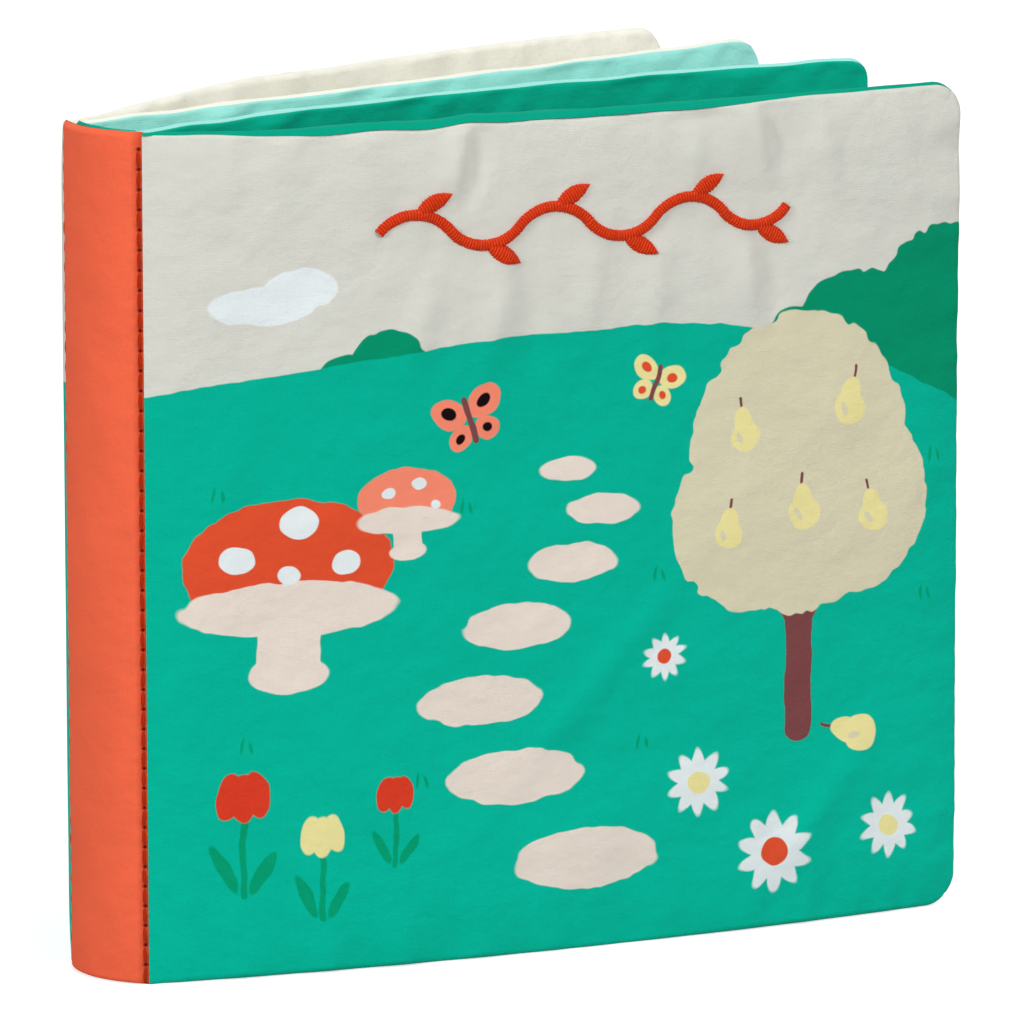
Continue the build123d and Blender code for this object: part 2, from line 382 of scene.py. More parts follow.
class Graph:
    """Short names for adding nodes to a tree and joining them."""

    def __init__(self, tree):
        self.tree = tree

    def node(self, kind, inputs=None, **settings):
        node = self.tree.nodes.new(kind)
        for key, value in settings.items():
            setattr(node, key, value)
        for key, value in (inputs or {}).items():
            if isinstance(value, bpy.types.NodeSocket):
                self.tree.links.new(value, node.inputs[key])
            else:
                node.inputs[key].default_value = value
        return node

    def math(self, operation, a, b=0.0, clamp=False):
        node = self.node("ShaderNodeMath", {0: a, 1: b}, operation=operation, use_clamp=clamp)
        return node.outputs[0]

    def vector(self, operation, a, b=(0, 0, 0)):
        node = self.node("ShaderNodeVectorMath", {0: a, 1: b}, operation=operation)
        return node.outputs["Value"] if operation == "LENGTH" else node.outputs[0]

    def scaled(self, vector, factor):
        node = self.node("ShaderNodeVectorMath", {0: vector, "Scale": factor}, operation="SCALE")
        return node.outputs[0]

    def noise(self, place, scale, detail=2.0):
        node = self.node("ShaderNodeTexNoise", {"Vector": place, "Scale": scale, "Detail": detail})
        return node.outputs["Fac"]

    def mix(self, share, a, b):
        node = self.node("ShaderNodeMix", {0: share, 6: a, 7: b}, data_type="RGBA")
        return node.outputs[2]


def new_group(name, inputs, outputs):
    """A shader group's tree, its graph, and the sockets inside it."""
    tree = bpy.data.node_groups.new(name, "ShaderNodeTree")
    for socket, kind in inputs.items():
        tree.interface.new_socket(socket, in_out="INPUT", socket_type=kind)
    for socket, kind in outputs.items():
        tree.interface.new_socket(socket, in_out="OUTPUT", socket_type=kind)
    start = tree.nodes.new("NodeGroupInput")
    end = tree.nodes.new("NodeGroupOutput")
    return tree, Graph(tree), start.outputs, end.inputs


# %% [markdown]
# The group first mottles the colour with a slow cloud and a fine grain. Two crossed waves are the
# threads of the weave, and a soft noise is the crumple. Together they are the height of a bump.

# %% Cloth group
cloth_group, graph, given, wanted = new_group(
    "woven cloth",
    {"Place": "NodeSocketVector", "Colour": "NodeSocketColor", "Mottle": "NodeSocketFloat"},
    {"Colour": "NodeSocketColor", "Normal": "NodeSocketVector"},
)
cloud = graph.noise(given["Place"], 0.06, 3.0)
grain = graph.noise(given["Place"], 1.6, 2.0)
shade = graph.math("ADD", graph.math("MULTIPLY", cloud, 0.65), graph.math("MULTIPLY", grain, 0.35))
swing = graph.math("MULTIPLY", graph.math("SUBTRACT", shade, 0.5), given["Mottle"])
graph.tree.links.new(graph.scaled(given["Colour"], graph.math("ADD", swing, 1.0)), wanted["Colour"])
weave = {"Vector": given["Place"], "Scale": 0.62, "Distortion": 0.6}
warp = graph.node("ShaderNodeTexWave", weave, bands_direction="X").outputs["Fac"]
weft = graph.node("ShaderNodeTexWave", weave, bands_direction="Y").outputs["Fac"]
threads = graph.math("MULTIPLY", graph.math("ADD", warp, weft), 0.5)
crumple = graph.noise(given["Place"], 0.13, 4.0)
fine_relief = graph.math("MULTIPLY", threads, 0.05)
broad_relief = graph.math("MULTIPLY", crumple, 1.5)
relief = graph.math("ADD", fine_relief, broad_relief)
bump = graph.node("ShaderNodeBump", {"Height": relief, "Strength": 0.55, "Distance": 0.001})
graph.tree.links.new(bump.outputs["Normal"], wanted["Normal"])

# %% [markdown]
# A piece's material is one plain shader with the group in front of it. Its colour is either fixed
# or painted by a function, so prints and plain cloth are made by the same few lines.


# %% Cloth materials
def cloth_material(name, paint, mottle=0.10, roughness=0.9):
    """A cloth material. Paint is a colour, or gets the graph and the place and gives a colour."""
    material = bpy.data.materials.new(name)
    material.use_nodes = True
    graph = Graph(material.node_tree)
    shader = material.node_tree.nodes["Principled BSDF"]
    place = graph.node("ShaderNodeUVMap", uv_map="cloth").outputs["UV"]
    colour = paint(graph, place) if callable(paint) else paint
    group = graph.node("ShaderNodeGroup", node_tree=cloth_group)
    graph.tree.links.new(place, group.inputs["Place"])
    group.inputs["Mottle"].default_value = mottle
    if isinstance(colour, bpy.types.NodeSocket):
        graph.tree.links.new(colour, group.inputs["Colour"])
    else:
        group.inputs["Colour"].default_value = colour
    graph.tree.links.new(group.outputs["Colour"], shader.inputs["Base Color"])
    graph.tree.links.new(group.outputs["Normal"], shader.inputs["Normal"])
    shader.inputs["Roughness"].default_value = roughness
    shader.inputs["Specular IOR Level"].default_value = 0.06
    shader.inputs["Sheen Weight"].default_value = 0.02
    shader.inputs["Sheen Roughness"].default_value = 0.5
    return material


# %% [markdown]
# ## The print
# The print is painted from two kinds of mark, each a small shader group that gives a mask: an
# ellipse, and a bar with round corners. A warp of the place first makes every edge wobble a little,
# as a gouache brush does. The marks are listed from back to front, in millimetres on the cover.


# %% Mark groups
def mark_group(name):
    tree, graph, given, wanted = new_group(
        name,
        {"Place": "NodeSocketVector", "Middle": "NodeSocketVector", "Radii": "NodeSocketVector",
         "Turn": "NodeSocketFloat", "Soft": "NodeSocketFloat", "Round": "NodeSocketFloat"},
        {"Mask": "NodeSocketFloat"},
    )
    moved = graph.vector("SUBTRACT", given["Place"], given["Middle"])
    turning = graph.node("ShaderNodeVectorRotate", {"Vector": moved, "Angle": given["Turn"]})
    turning.rotation_type = "Z_AXIS"
    return tree, graph, given, wanted, turning.outputs[0]


ellipse_group, graph, given, wanted, turned = mark_group("ellipse mark")
reach = graph.vector("LENGTH", graph.vector("DIVIDE", turned, given["Radii"]))
edge = graph.math("MULTIPLY", graph.math("SUBTRACT", 1.0, reach), given["Soft"])
graph.tree.links.new(graph.math("ADD", edge, 0.5, clamp=True), wanted["Mask"])

bar_group, graph, given, wanted, turned = mark_group("bar mark")
beyond = graph.vector("SUBTRACT", graph.vector("ABSOLUTE", turned), given["Radii"])
parts = graph.node("ShaderNodeSeparateXYZ", {0: beyond})
out_x = graph.math("ADD", parts.outputs[0], given["Round"])
out_y = graph.math("ADD", parts.outputs[1], given["Round"])
far_x = graph.math("MAXIMUM", out_x, 0.0)
far_y = graph.math("MAXIMUM", out_y, 0.0)
corner = graph.node("ShaderNodeCombineXYZ", {0: far_x, 1: far_y})
within = graph.math("MINIMUM", graph.math("MAXIMUM", out_x, out_y), 0.0)
outside = graph.vector("LENGTH", corner.outputs[0])
away = graph.math("SUBTRACT", graph.math("ADD", outside, within), given["Round"])
edge = graph.math("MULTIPLY", away, graph.math("MULTIPLY", given["Soft"], -1.0))
graph.tree.links.new(graph.math("ADD", edge, 0.5, clamp=True), wanted["Mask"])

# %% [markdown]
# A mark is laid over the colour so far by its mask. The mask ends in a soft edge, a fifth of a
# millimetre wide, because ink creeps a little into cotton.

# %% Painting marks
EDGE = 0.22  # how soft a printed edge is, in millimetres


def paint_mark(graph, place, colour, mark):
    """Paints one mark over a colour."""
    kind, x, y, rx, ry, turn, ink = mark
    small = min(rx, ry)
    tree = ellipse_group if kind == "ellipse" else bar_group
    group = graph.node("ShaderNodeGroup", node_tree=tree)
    graph.tree.links.new(place, group.inputs["Place"])
    group.inputs["Middle"].default_value = (x, y, 0)
    group.inputs["Radii"].default_value = (rx, ry, 1)
    group.inputs["Turn"].default_value = radians(turn)
    group.inputs["Soft"].default_value = small / EDGE if kind == "ellipse" else 1 / EDGE
    group.inputs["Round"].default_value = small
    return graph.mix(group.outputs["Mask"], colour, ink)


CREAM = srgb(221, 214, 184)
BROWN = srgb(128, 72, 74)
YELLOW = srgb(240, 229, 160)
ORANGE = srgb(228, 82, 48)
SALMON = srgb(250, 140, 112)
PINK_CREAM = srgb(236, 222, 211)
WHITE = srgb(232, 240, 242)
BLACK = srgb(22, 10, 14)
SKY = srgb(217, 217, 208)
FIELD = srgb(0, 188, 160)
FAR_FIELD = srgb(0, 180, 152)
BUSH = srgb(0, 148, 108)
PETAL = srgb(222, 62, 38)
LEAF = srgb(0, 160, 115)
PRINT_HEIGHT = 180.0
FIELD_FADE = 130.0  # the field's near green has gone over to the far one at this height
BROW = ((0.0, 0.695), (0.25, 0.722), (0.5, 0.741), (0.72, 0.728), (1.0, 0.615))


def painted_place(graph, place):
    """The place, pushed about a little so that edges wobble."""
    wobble = graph.node("ShaderNodeTexNoise", {"Vector": place, "Scale": 0.16, "Detail": 1.0})
    centred = graph.vector("SUBTRACT", wobble.outputs["Color"], (0.5, 0.5, 0.5))
    return graph.vector("ADD", place, graph.scaled(centred, 1.6))


def meadow(graph, place):
    """A field's mask and colour. Its brow rises in the middle and falls to the right."""
    parts = graph.node("ShaderNodeSeparateXYZ", {0: place})
    x, y = parts.outputs[0], parts.outputs[1]
    brow = graph.node("ShaderNodeFloatCurve", {"Value": graph.math("DIVIDE", x, COVER_WIDTH / MM)})
    curve = brow.mapping.curves[0]
    curve.points[0].location = BROW[0]
    curve.points[1].location = BROW[-1]
    for spot in BROW[1:-1]:
        curve.points.new(*spot)
    brow.mapping.update()
    level = graph.math("MULTIPLY", brow.outputs[0], PRINT_HEIGHT)
    under = graph.math("MULTIPLY", graph.math("SUBTRACT", level, y), 1 / EDGE)
    near = graph.math("SUBTRACT", 1.0, graph.math("DIVIDE", y, FIELD_FADE), clamp=True)
    return graph.math("ADD", under, 0.5, clamp=True), graph.mix(near, FAR_FIELD, FIELD)


# %% [markdown]
# A motif is a short list of marks. Each one is drawn at a place and a size, so that it can be used
# again. The numbers are shares of the motif's size.


# %% Motifs
def pear_tree(x, y, size, crown):
    return [
        ("bar", x, y + 0.16 * size, 0.035 * size, 0.20 * size, 0, BROWN),
        ("bar", x + 0.07 * size, y + 0.33 * size, 0.018 * size, 0.10 * size, 35, BROWN),
        ("bar", x - 0.07 * size, y + 0.33 * size, 0.018 * size, 0.10 * size, -35, BROWN),
        ("ellipse", x, y + 0.62 * size, 0.29 * size, 0.36 * size, 0, crown),
        ("ellipse", x - 0.13 * size, y + 0.5 * size, 0.2 * size, 0.22 * size, 0, crown),
        ("ellipse", x + 0.14 * size, y + 0.52 * size, 0.2 * size, 0.22 * size, 0, crown),
    ]


def toadstool(x, y, size, cap, spots):
    marks = [
        ("bar", x, y + 0.26 * size, 0.15 * size, 0.28 * size, 0, PINK_CREAM),
        ("ellipse", x, y + 0.06 * size, 0.19 * size, 0.09 * size, 0, PINK_CREAM),
        ("ellipse", x, y + 0.56 * size, 0.5 * size, 0.31 * size, 0, cap),
        ("ellipse", x, y + 0.36 * size, 0.52 * size, 0.13 * size, 0, PINK_CREAM),
    ]
    for dx, dy, r in spots:
        marks.append(("ellipse", x + dx * size, y + dy * size, r * size, r * 0.8 * size, 0, WHITE))
    return marks


def pear(x, y, size, lean):
    c, s = cos(radians(lean)), sin(radians(lean))
    stalk, neck = 0.62 * size, 0.26 * size
    return [
        ("bar", x - stalk * s, y + stalk * c, 0.03 * size, 0.14 * size, -lean, BROWN),
        ("ellipse", x, y, 0.32 * size, 0.31 * size, -lean, YELLOW),
        ("ellipse", x - neck * s, y + neck * c, 0.2 * size, 0.3 * size, -lean, YELLOW),
        ("ellipse", x - 0.12 * size, y - 0.02 * size, 0.06 * size, 0.12 * size, -lean - 20, CREAM),
    ]


def tulip(x, y, size, ink):
    return [
        ("bar", x, y + 0.3 * size, 0.025 * size, 0.32 * size, 0, LEAF),
        ("ellipse", x - 0.14 * size, y + 0.2 * size, 0.05 * size, 0.2 * size, -28, LEAF),
        ("ellipse", x + 0.14 * size, y + 0.16 * size, 0.05 * size, 0.17 * size, 32, LEAF),
        ("ellipse", x - 0.1 * size, y + 0.72 * size, 0.09 * size, 0.17 * size, 12, ink),
        ("ellipse", x + 0.1 * size, y + 0.72 * size, 0.09 * size, 0.17 * size, -12, ink),
        ("ellipse", x, y + 0.7 * size, 0.1 * size, 0.18 * size, 0, ink),
    ]


def daisy(x, y, size, petal, heart):
    marks = [("ellipse", x, y, 0.13 * size, 0.5 * size, step * 36.0, petal) for step in range(5)]
    return marks + [("ellipse", x, y, 0.17 * size, 0.17 * size, 0, heart)]


def butterfly(x, y, size, lean, ink, spot):
    c, s = cos(radians(lean)), sin(radians(lean))
    marks = []
    wings = (
        (-0.3, 0.2, 0.3, 0.22, 30),
        (0.3, 0.2, 0.3, 0.22, -30),
        (-0.22, -0.2, 0.2, 0.17, -30),
        (0.22, -0.2, 0.2, 0.17, 30),
    )
    for dx, dy, rx, ry, turn in wings:
        px = x + (dx * c - dy * s) * size
        py = y + (dx * s + dy * c) * size
        marks.append(("ellipse", px, py, rx * size, ry * size, turn - lean, ink))
        marks.append(("ellipse", px, py, rx * size * 0.4, ry * size * 0.4, turn - lean, spot))
    return marks + [("bar", x, y, 0.05 * size, 0.36 * size, -lean, BROWN)]


def grass(x, y):
    return [
        ("ellipse", x, y, 0.35, 1.7, 6, LEAF),
        ("ellipse", x + 1.9, y - 0.4, 0.35, 1.3, -14, LEAF),
    ]


# %% [markdown]
# The front shows toadstools, tulips and a pear tree in a meadow. A shader with every mark in it is
# slow, so the cover is cut into 36 tiles. Each tile's material only works out the marks near it.

# %% The front cover's print
BEHIND_THE_FIELD = (
    ("ellipse", 25, 143, 12, 4.2, 0, WHITE),
    ("ellipse", 33, 146, 8, 4.6, 0, WHITE),
    ("ellipse", 160, 128, 16, 14, 0, BUSH),
    ("ellipse", 181, 130, 18, 20, 0, BUSH),
    ("ellipse", 146, 126, 9, 9, 0, BUSH),
    ("ellipse", 52, 127, 9, 9.5, 0, BUSH),
    ("ellipse", 43, 125, 8, 6.5, 0, BUSH),
)
PATH = (
    (92, 104, 6.5, 2.6), (100, 95, 8.5, 3.4), (93, 84, 10.5, 4.2), (80, 71.5, 12.5, 4.8),
    (72, 56, 14, 5.4), (80, 39, 15.5, 6), (96, 20, 17, 6.6),
)
LARGE_SPOTS = ((-0.24, 0.6, 0.08), (0.05, 0.76, 0.09), (0.27, 0.56, 0.07), (0.0, 0.52, 0.055))
SMALL_SPOTS = ((-0.2, 0.62, 0.07), (0.12, 0.7, 0.08), (0.28, 0.5, 0.05))
TUFTS = ((68, 98), (112, 80), (20, 50), (176, 70), (58, 40), (108, 44), (178, 100), (14, 104))
TILES = 6
TILE = COVER_WIDTH / MM / TILES
REACH_OVER = 4.0  # how far a mark may wobble, or a cloth facet reach, over a tile's edge


def near_tile(mark, column, row):
    """Whether a mark can show on a tile."""
    x, y, rx, ry = mark[1:5]
    reach = max(rx, ry) + REACH_OVER
    over_x = max(abs(x - (column + 0.5) * TILE) - TILE / 2, 0)
    over_y = max(abs(y - (row + 0.5) * TILE) - TILE / 2, 0)
    return over_x * over_x + over_y * over_y < reach * reach


def print_marks():
    marks = [("ellipse", x, y, rx, ry, 0, PINK_CREAM) for x, y, rx, ry in PATH]
    marks += pear_tree(146, 44, 92, CREAM)
    marks += pear(133, 108, 11, 8) + pear(158, 112, 12, -10) + pear(147, 90, 12, 4)
    marks += pear(129, 87, 10, -6) + pear(164, 88, 11, 12) + pear(161, 41, 13, 75)
    marks += toadstool(30, 62, 46, ORANGE, LARGE_SPOTS) + toadstool(56, 88, 22, SALMON, SMALL_SPOTS)
    marks += tulip(20, 18, 30, PETAL) + tulip(37, 12, 25, YELLOW) + tulip(53, 22, 22, PETAL)
    marks += daisy(122, 34, 15, WHITE, YELLOW) + daisy(140, 17, 18, WHITE, ORANGE)
    marks += daisy(168, 20, 14, WHITE, YELLOW) + daisy(114, 62, 10, WHITE, ORANGE)
    marks += butterfly(70, 116, 14, 18, SALMON, BLACK)
    marks += butterfly(112, 121, 11, -20, YELLOW, ORANGE)
    for x, y in TUFTS:
        marks += grass(x, y)
    return marks


def front_print(column, row):
    """The paint for one tile of the cover: only the marks that come near it are worked out."""

    def paint(graph, flat):
        place = painted_place(graph, flat)
        sky = SKY
        for mark in BEHIND_THE_FIELD:
            if near_tile(mark, column, row):
                sky = paint_mark(graph, place, sky, mark)
        mask, field = meadow(graph, place)
        colour = graph.mix(mask, sky, field)
        for mark in print_marks():
            if near_tile(mark, column, row):
                colour = paint_mark(graph, place, colour, mark)
        return colour

    return paint


def back_print(graph, flat):
    place = painted_place(graph, flat)
    mask, field = meadow(graph, place)
    colour = graph.mix(mask, SKY, field)
    large = toadstool(118, 40, 44, ORANGE, SMALL_SPOTS)
    small = toadstool(88, 30, 26, SALMON, SMALL_SPOTS)
    for mark in large + small:
        colour = paint_mark(graph, place, colour, mark)
    return colour


# %% [markdown]
# The spine is plain orange. The stitches pull it down, and painted shade makes it darker beside
# them and in each needle hole.

# %% The spine's colour
SPINE_MM = spine_length / MM
STITCH_PITCH = 4.2
STITCH_ROW = 0.55
SHADE_WIDTH = 2.0  # of the painted shade beside a row, where the stitches pull the cloth down
# how far the painted shade of a needle hole reaches, in millimetres
HOLE_SIZE = 0.62


def spine_paint(graph, place):
    """Orange, with painted shade beside the stitched rows and a dark painted shade in the needle
    hole at each end of a stitch.
    """
    parts = graph.node("ShaderNodeSeparateXYZ", {0: place})
    along, up = parts.outputs[0], parts.outputs[1]
    from_edge = graph.math("MINIMUM", along, graph.math("SUBTRACT", SPINE_MM, along))
    # Painted shade: the orange darkens in a band beside each stitched row, where the stitches pull
    # the cloth down.
    shade_band = graph.math("SUBTRACT", 1.0, graph.math("DIVIDE", from_edge, SHADE_WIDTH), clamp=True)
    colour = graph.mix(graph.math("MULTIPLY", shade_band, 0.75), srgb(246, 106, 72), srgb(204, 66, 28))
    # Painted shade: a dark spot in each needle hole, at each end of a stitch.
    phase = graph.math("FRACT", graph.math("DIVIDE", up, STITCH_PITCH))
    from_hole = graph.math("MINIMUM", phase, graph.math("SUBTRACT", 1.0, phase))
    off_up = graph.math("MULTIPLY", from_hole, STITCH_PITCH)
    off_along = graph.math("SUBTRACT", from_edge, STITCH_ROW)
    offset = graph.node("ShaderNodeCombineXYZ", {0: off_along, 1: off_up})
    away = graph.vector("LENGTH", offset.outputs[0])
    hole_shade = graph.math("SUBTRACT", 1.0, graph.math("DIVIDE", away, HOLE_SIZE), clamp=True)
    return graph.mix(graph.math("MULTIPLY", hole_shade, 1.5, clamp=True), colour, srgb(96, 10, 4))


# %% [markdown]
# Every piece gets its cloth here, by the colour of its yarn.

# %% Materials
front_paints = [
    cloth_material(f"cover_print_{column}_{row}", front_print(column, row), 0.05)
    for row in range(TILES) for column in range(TILES)
]
back_paint = cloth_material("back_print", back_print, 0.05)
orange = cloth_material("orange_cloth", spine_paint, 0.28)
green = cloth_material("green_cloth", srgb(0, 160, 130), 0.14)
leaf_green = cloth_material("leaf_green_cloth", srgb(4, 174, 144), 0.16)
aqua = cloth_material("aqua_cloth", srgb(165, 236, 226), 0.10)
cream = cloth_material("cream_cloth", srgb(248, 247, 234), 0.06)
dark_thread = cloth_material("stitch_thread", srgb(176, 44, 12), 0.2, 0.6)
print(len(front_paints), "tiles and", len(print_marks()), "marks in the front print")

# %% [markdown]
# ## Covers
# Each cover is two skins round one layer of wadding. On the front cover the green lining is a
# little too long, so along the top it rolls over the edge and shows as a lip above the print. A
# cover is caught in the spine's stitches.


# %% Covers
TURN_WIDTH = 7 * MM
COVER_GRID = 170


def front_lip(along):
    """How far over the top edge the lining rolls, along the front cover."""
    start = min(max((along - 14) / 26, 0), 1)
    end = min(max((150 - along) / 32, 0), 1)
    swell = start * start * (3 - 2 * start) * end * end * (3 - 2 * end)
    return 0.7 + 1.5 * swell + 0.25 * ripple(along / 9, 0, 6.1)


def small_lip(along):
    return 0.5 + 0.3 * ripple(along / 12, 0, 2.2)


def near_top(up):
    """0 up to two thirds of the height, and rising to 1 at the top."""
    return max((up - 120) / 60, 0) ** 2


def front_shape(along, up):
    """The top edge dips beside the spine and lifts in one small hump."""
    dips = -0.9 * hill(along, 28, 20) - 0.5 * hill(along, 62, 8)
    return up + near_top(up) * (dips + 0.45 * hill(along, 70, 5))


def back_shape(along, up):
    return up + near_top(up) * (0.8 * hill(along, 60, 22) - 0.4 * hill(along, 12, 10))


def share_into_tiles(skin):
    """Gives each face of the front print the material of the tile that it lies on."""
    cloth_map = skin.loops.layers.uv["cloth"]
    for part in skin.faces:
        places = [loop[cloth_map].uv for loop in part.loops]
        middle = sum(places, Vector((0, 0))) / len(places)
        column = min(max(int(middle.x / TILE), 0), TILES - 1)
        row = min(max(int(middle.y / TILE), 0), TILES - 1)
        part.material_index = row * TILES + column


cover_sizes = dict(half=3.15 * MM, roll=1.9 * MM, ramp=15 * MM, corner=7 * MM, root_half=0.35 * MM)
front_pillow = Pillow(front, root_ramp=18 * MM, lip=front_lip, **cover_sizes)
back_pillow = Pillow(back, root_ramp=2 * MM, lip=small_lip, **cover_sizes)
cover_skins = (
    # piece, pillow, direction, face, wrinkle, shape, materials, slot, solids it stands for
    ("front_cover_print", front_pillow, -1, -1, front_wrinkle, front_shape, front_paints,
     "cover_print", ("front_cover_outer", "front_cover_wadding")),
    ("front_cover_inside", front_pillow, 1, 1, inner_wrinkle, front_shape, [green],
     "green_cloth", ("front_cover_lining",)),
    ("back_cover_print", back_pillow, 1, -1, back_wrinkle, back_shape, [back_paint],
     "cover_print", ("back_cover_outer", "back_cover_wadding")),
    ("back_cover_inside", back_pillow, -1, 1, back_wrinkle, back_shape, [cream],
     "cream_cloth", ("back_cover_lining",)),
)
for name, pillow, direction, face, wrinkle, shape, paints, slot, nodes in cover_skins:
    skin = pillow_skin(pillow, direction, face, COVER_GRID, wrinkle, shape)
    if paints is front_paints:
        share_into_tiles(skin)
    piece = new_piece(name, skin, paints, slot, *nodes)
    turn_start, turn_end = pillow.panel.at(0, 0, 0), pillow.panel.at(TURN_WIDTH, 0, 0)
    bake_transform(piece)

# %% [markdown]
# ## Pages
# Two leaves and the strip between them are one sewn sheet, so they are one piece. The strip is a
# narrow rounded fold behind the spine.


# %% Pages
LEAF_GRID = 130


def leaf_shape(along, up):
    return up + near_top(up) * 0.5 * ripple(along / 14, 0, 7.7)


def add_skin(whole, skin):
    """Adds a finished skin to another bmesh."""
    mesh = bpy.data.meshes.new("skin")
    skin.to_mesh(mesh)
    skin.free()
    whole.from_mesh(mesh)
    bpy.data.meshes.remove(mesh)


leaf_sizes = dict(
    half=2.25 * MM, roll=1.3 * MM, ramp=15 * MM, root_half=0.8 * MM, root_ramp=15 * MM
)
leaf_corners = {leaf_1: 4.5 * MM, leaf_2: 7 * MM}
pages = bmesh.new()
pages.loops.layers.uv.new("cloth")
leaf_sides = ((leaf_1, -1, -1, 0), (leaf_1, 1, 1, 1), (leaf_2, -1, -1, 1), (leaf_2, 1, 1, 2))
for leaf, direction, face, slot_number in leaf_sides:
    pillow = Pillow(leaf, corner=leaf_corners[leaf], lip=small_lip, **leaf_sizes)
    skin = pillow_skin(pillow, direction, face, LEAF_GRID, leaf_wrinkle, leaf_shape)
    for part in skin.faces:
        part.material_index = slot_number
    add_skin(pages, skin)

# %% [markdown]
# The strip joins the leaves behind the spine. It is a flat band with a crease a little off its
# middle, and its top and bottom are rolled.

# %% The strip between the leaves
STRIP_BOW = 50.0
strip_turn = radians(STRIP_BOW / 2)
strip_length = 2 * STRIP_HALF * strip_turn / sin(strip_turn)
strip = Panel(leaf_1.at(0, 0, 0), CHORD_HEADING + STRIP_BOW / 2, strip_length, -STRIP_BOW)
STRIP_THICK = 0.8  # half the strip's thickness, in millimetres
for direction in (1, -1):
    skin = flat_grid(20, 60)
    flat = {}
    for vert in skin.verts:
        up = finer_at_ends(vert.co.y, 0.7) * HEIGHT / MM
        share = min(min(HEIGHT / MM - up, up) / STRIP_THICK, 1)
        along = vert.co.x * strip_length / MM
        crease = 0.5 * hill(along, 0.55 * strip_length / MM, 1.2)
        side = STRIP_THICK * sqrt(1 - (1 - share) ** 2) * direction - crease
        flat[vert] = (along, up)
        vert.co = strip.at(along * MM, side * MM, up * MM)
    write_cloth_map(skin, flat)
    if direction > 0:
        bmesh.ops.reverse_faces(skin, faces=skin.faces)
    add_skin(pages, skin)
pages_piece = new_piece("page_leaves", pages, [leaf_green, aqua, cream], "page_cloth", "pages")
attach(pages_piece, "spine")

# %% [markdown]
# ## Spine
# The spine is a narrow pillow that is caught down along both sides by the stitched rows. Between
# two stitches the cloth springs up a little, which scallops its edges.


# %% Spine
SPINE_HALF = 2.0


def spine_side(along, up):
    """How far the orange cloth stands out, a distance along the spine and up it, in millimetres."""
    from_edge = min(along, SPINE_MM - along)
    pull = 0.5 + 0.5 * cos(2 * pi * up / STITCH_PITCH)
    edge = 0.75 * min(max(from_edge + 0.35, 0) / 0.9, 1) ** 0.5
    row = hill(from_edge, STITCH_ROW, 0.75) * (0.22 + 0.38 * pull)
    share = min(max(from_edge - STITCH_ROW - 0.3, 0) / 6.5, 1)
    body = (SPINE_HALF - 0.75) * (1 - (1 - share) ** 2)
    uneven = 0.30 * ripple(along / 8, up / 14, 3.9) * min(max(from_edge, 0) / 5, 1)
    tight = 0.12 * ripple(along / 2.2, up / 1.6, 9.1) * exp(-max(from_edge - 2, 0) / 1.8)
    return edge - row + body + uneven + tight


def spine_skin(direction, columns, rows):
    bm = flat_grid(columns, rows)
    flat = {}
    tall = HEIGHT / MM
    for vert in bm.verts:
        up = finer_at_ends(vert.co.y, 0.4) * tall
        border = -0.25 - 0.16 * cos(2 * pi * up / STITCH_PITCH)
        along = border + finer_at_ends(vert.co.x, 0.6) * (SPINE_MM - 2 * border)
        crest = min(min(tall - up, up) / 1.1, 1)
        fold = sqrt(1 - (1 - crest) ** 2)
        side = spine_side(along, up) if direction > 0 else 0.5 + 0.8 * hill(along, SPINE_MM / 2, 7)
        flat[vert] = (along, up)
        vert.co = spine.at(along * MM, direction * side * (0.1 + 0.9 * fold) * MM, up * MM)
    write_cloth_map(bm, flat)
    if direction > 0:
        bmesh.ops.reverse_faces(bm, faces=bm.faces)
    return bm


outside = spine_skin(1, 56, 340)
spine_piece = new_piece(
    "spine_cloth", outside, [orange], "orange_cloth", "spine_outer", "spine_wadding"
)
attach(spine_piece, "spine")
inside = spine_skin(-1, 24, 60)
spine_inside = new_piece("spine_inside", inside, [green], "green_cloth", "spine_lining")
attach(spine_inside, "spine")

# %% [markdown]
# ## Stitches
# A stitch is a short bit of thick thread that dives into a needle hole at both ends. Each is a ball
# drawn out along the row, sunk to its middle in the cloth, and turned by up to a few degrees.


# %% Stitches
STITCH_RADII = (0.42 * MM, 0.36 * MM, 1.72 * MM)
STITCH_TILT = 7
STITCH_LIFT = 0.02


def stitch_row(along, seed):
    bm = bmesh.new()
    bm.loops.layers.uv.new("cloth")
    turn = Matrix.Rotation(radians(spine.heading + spine.bow * along / SPINE_MM), 4, "Z")
    size = Matrix.Diagonal((*STITCH_RADII, 1))
    for number in range(int(HEIGHT / MM / STITCH_PITCH)):
        up = (number + 0.5) * STITCH_PITCH
        ball = bmesh.ops.create_uvsphere(
            bm, u_segments=10, v_segments=9, radius=1.0, calc_uvs=False
        )
        spot = spine.at(along * MM, (spine_side(along, up) + STITCH_LIFT) * MM, up * MM)
        tilt = Matrix.Rotation(radians(STITCH_TILT * ripple(number * 0.9, seed, 2.0)), 4, "Y")
        place = Matrix.Translation(spot) @ turn @ tilt @ size
        bmesh.ops.transform(bm, matrix=place, verts=ball["verts"])
    return bm


rows = (
    ("front_seam_stitches", STITCH_ROW, "front_stitching"),
    ("back_seam_stitches", SPINE_MM - STITCH_ROW, "back_stitching"),
)
for name, along, node in rows:
    piece = new_piece(name, stitch_row(along, along), [dark_thread], "thread", node)
    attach(piece, "spine")

# %% [markdown]
# ## Embroidery
# Satin stitch lays threads side by side across a shape, so a line of it is a low rounded ridge with
# fine grooves across. Each ridge is a strip of grid, swept along its path and laid on the cover.

# %% Embroidery
GARLAND_START = 50.0
SWING_LENGTH = 15.5
SWING_HEIGHT = 3.6
SWINGS = 6
RIDGE_WIDTH = 2.6
RIDGE_HEIGHT = 1.05
THREAD_PITCH = 0.62
ACROSS_STEPS = 8
ARC_STEPS = 96
LEAF_STEPS = 60


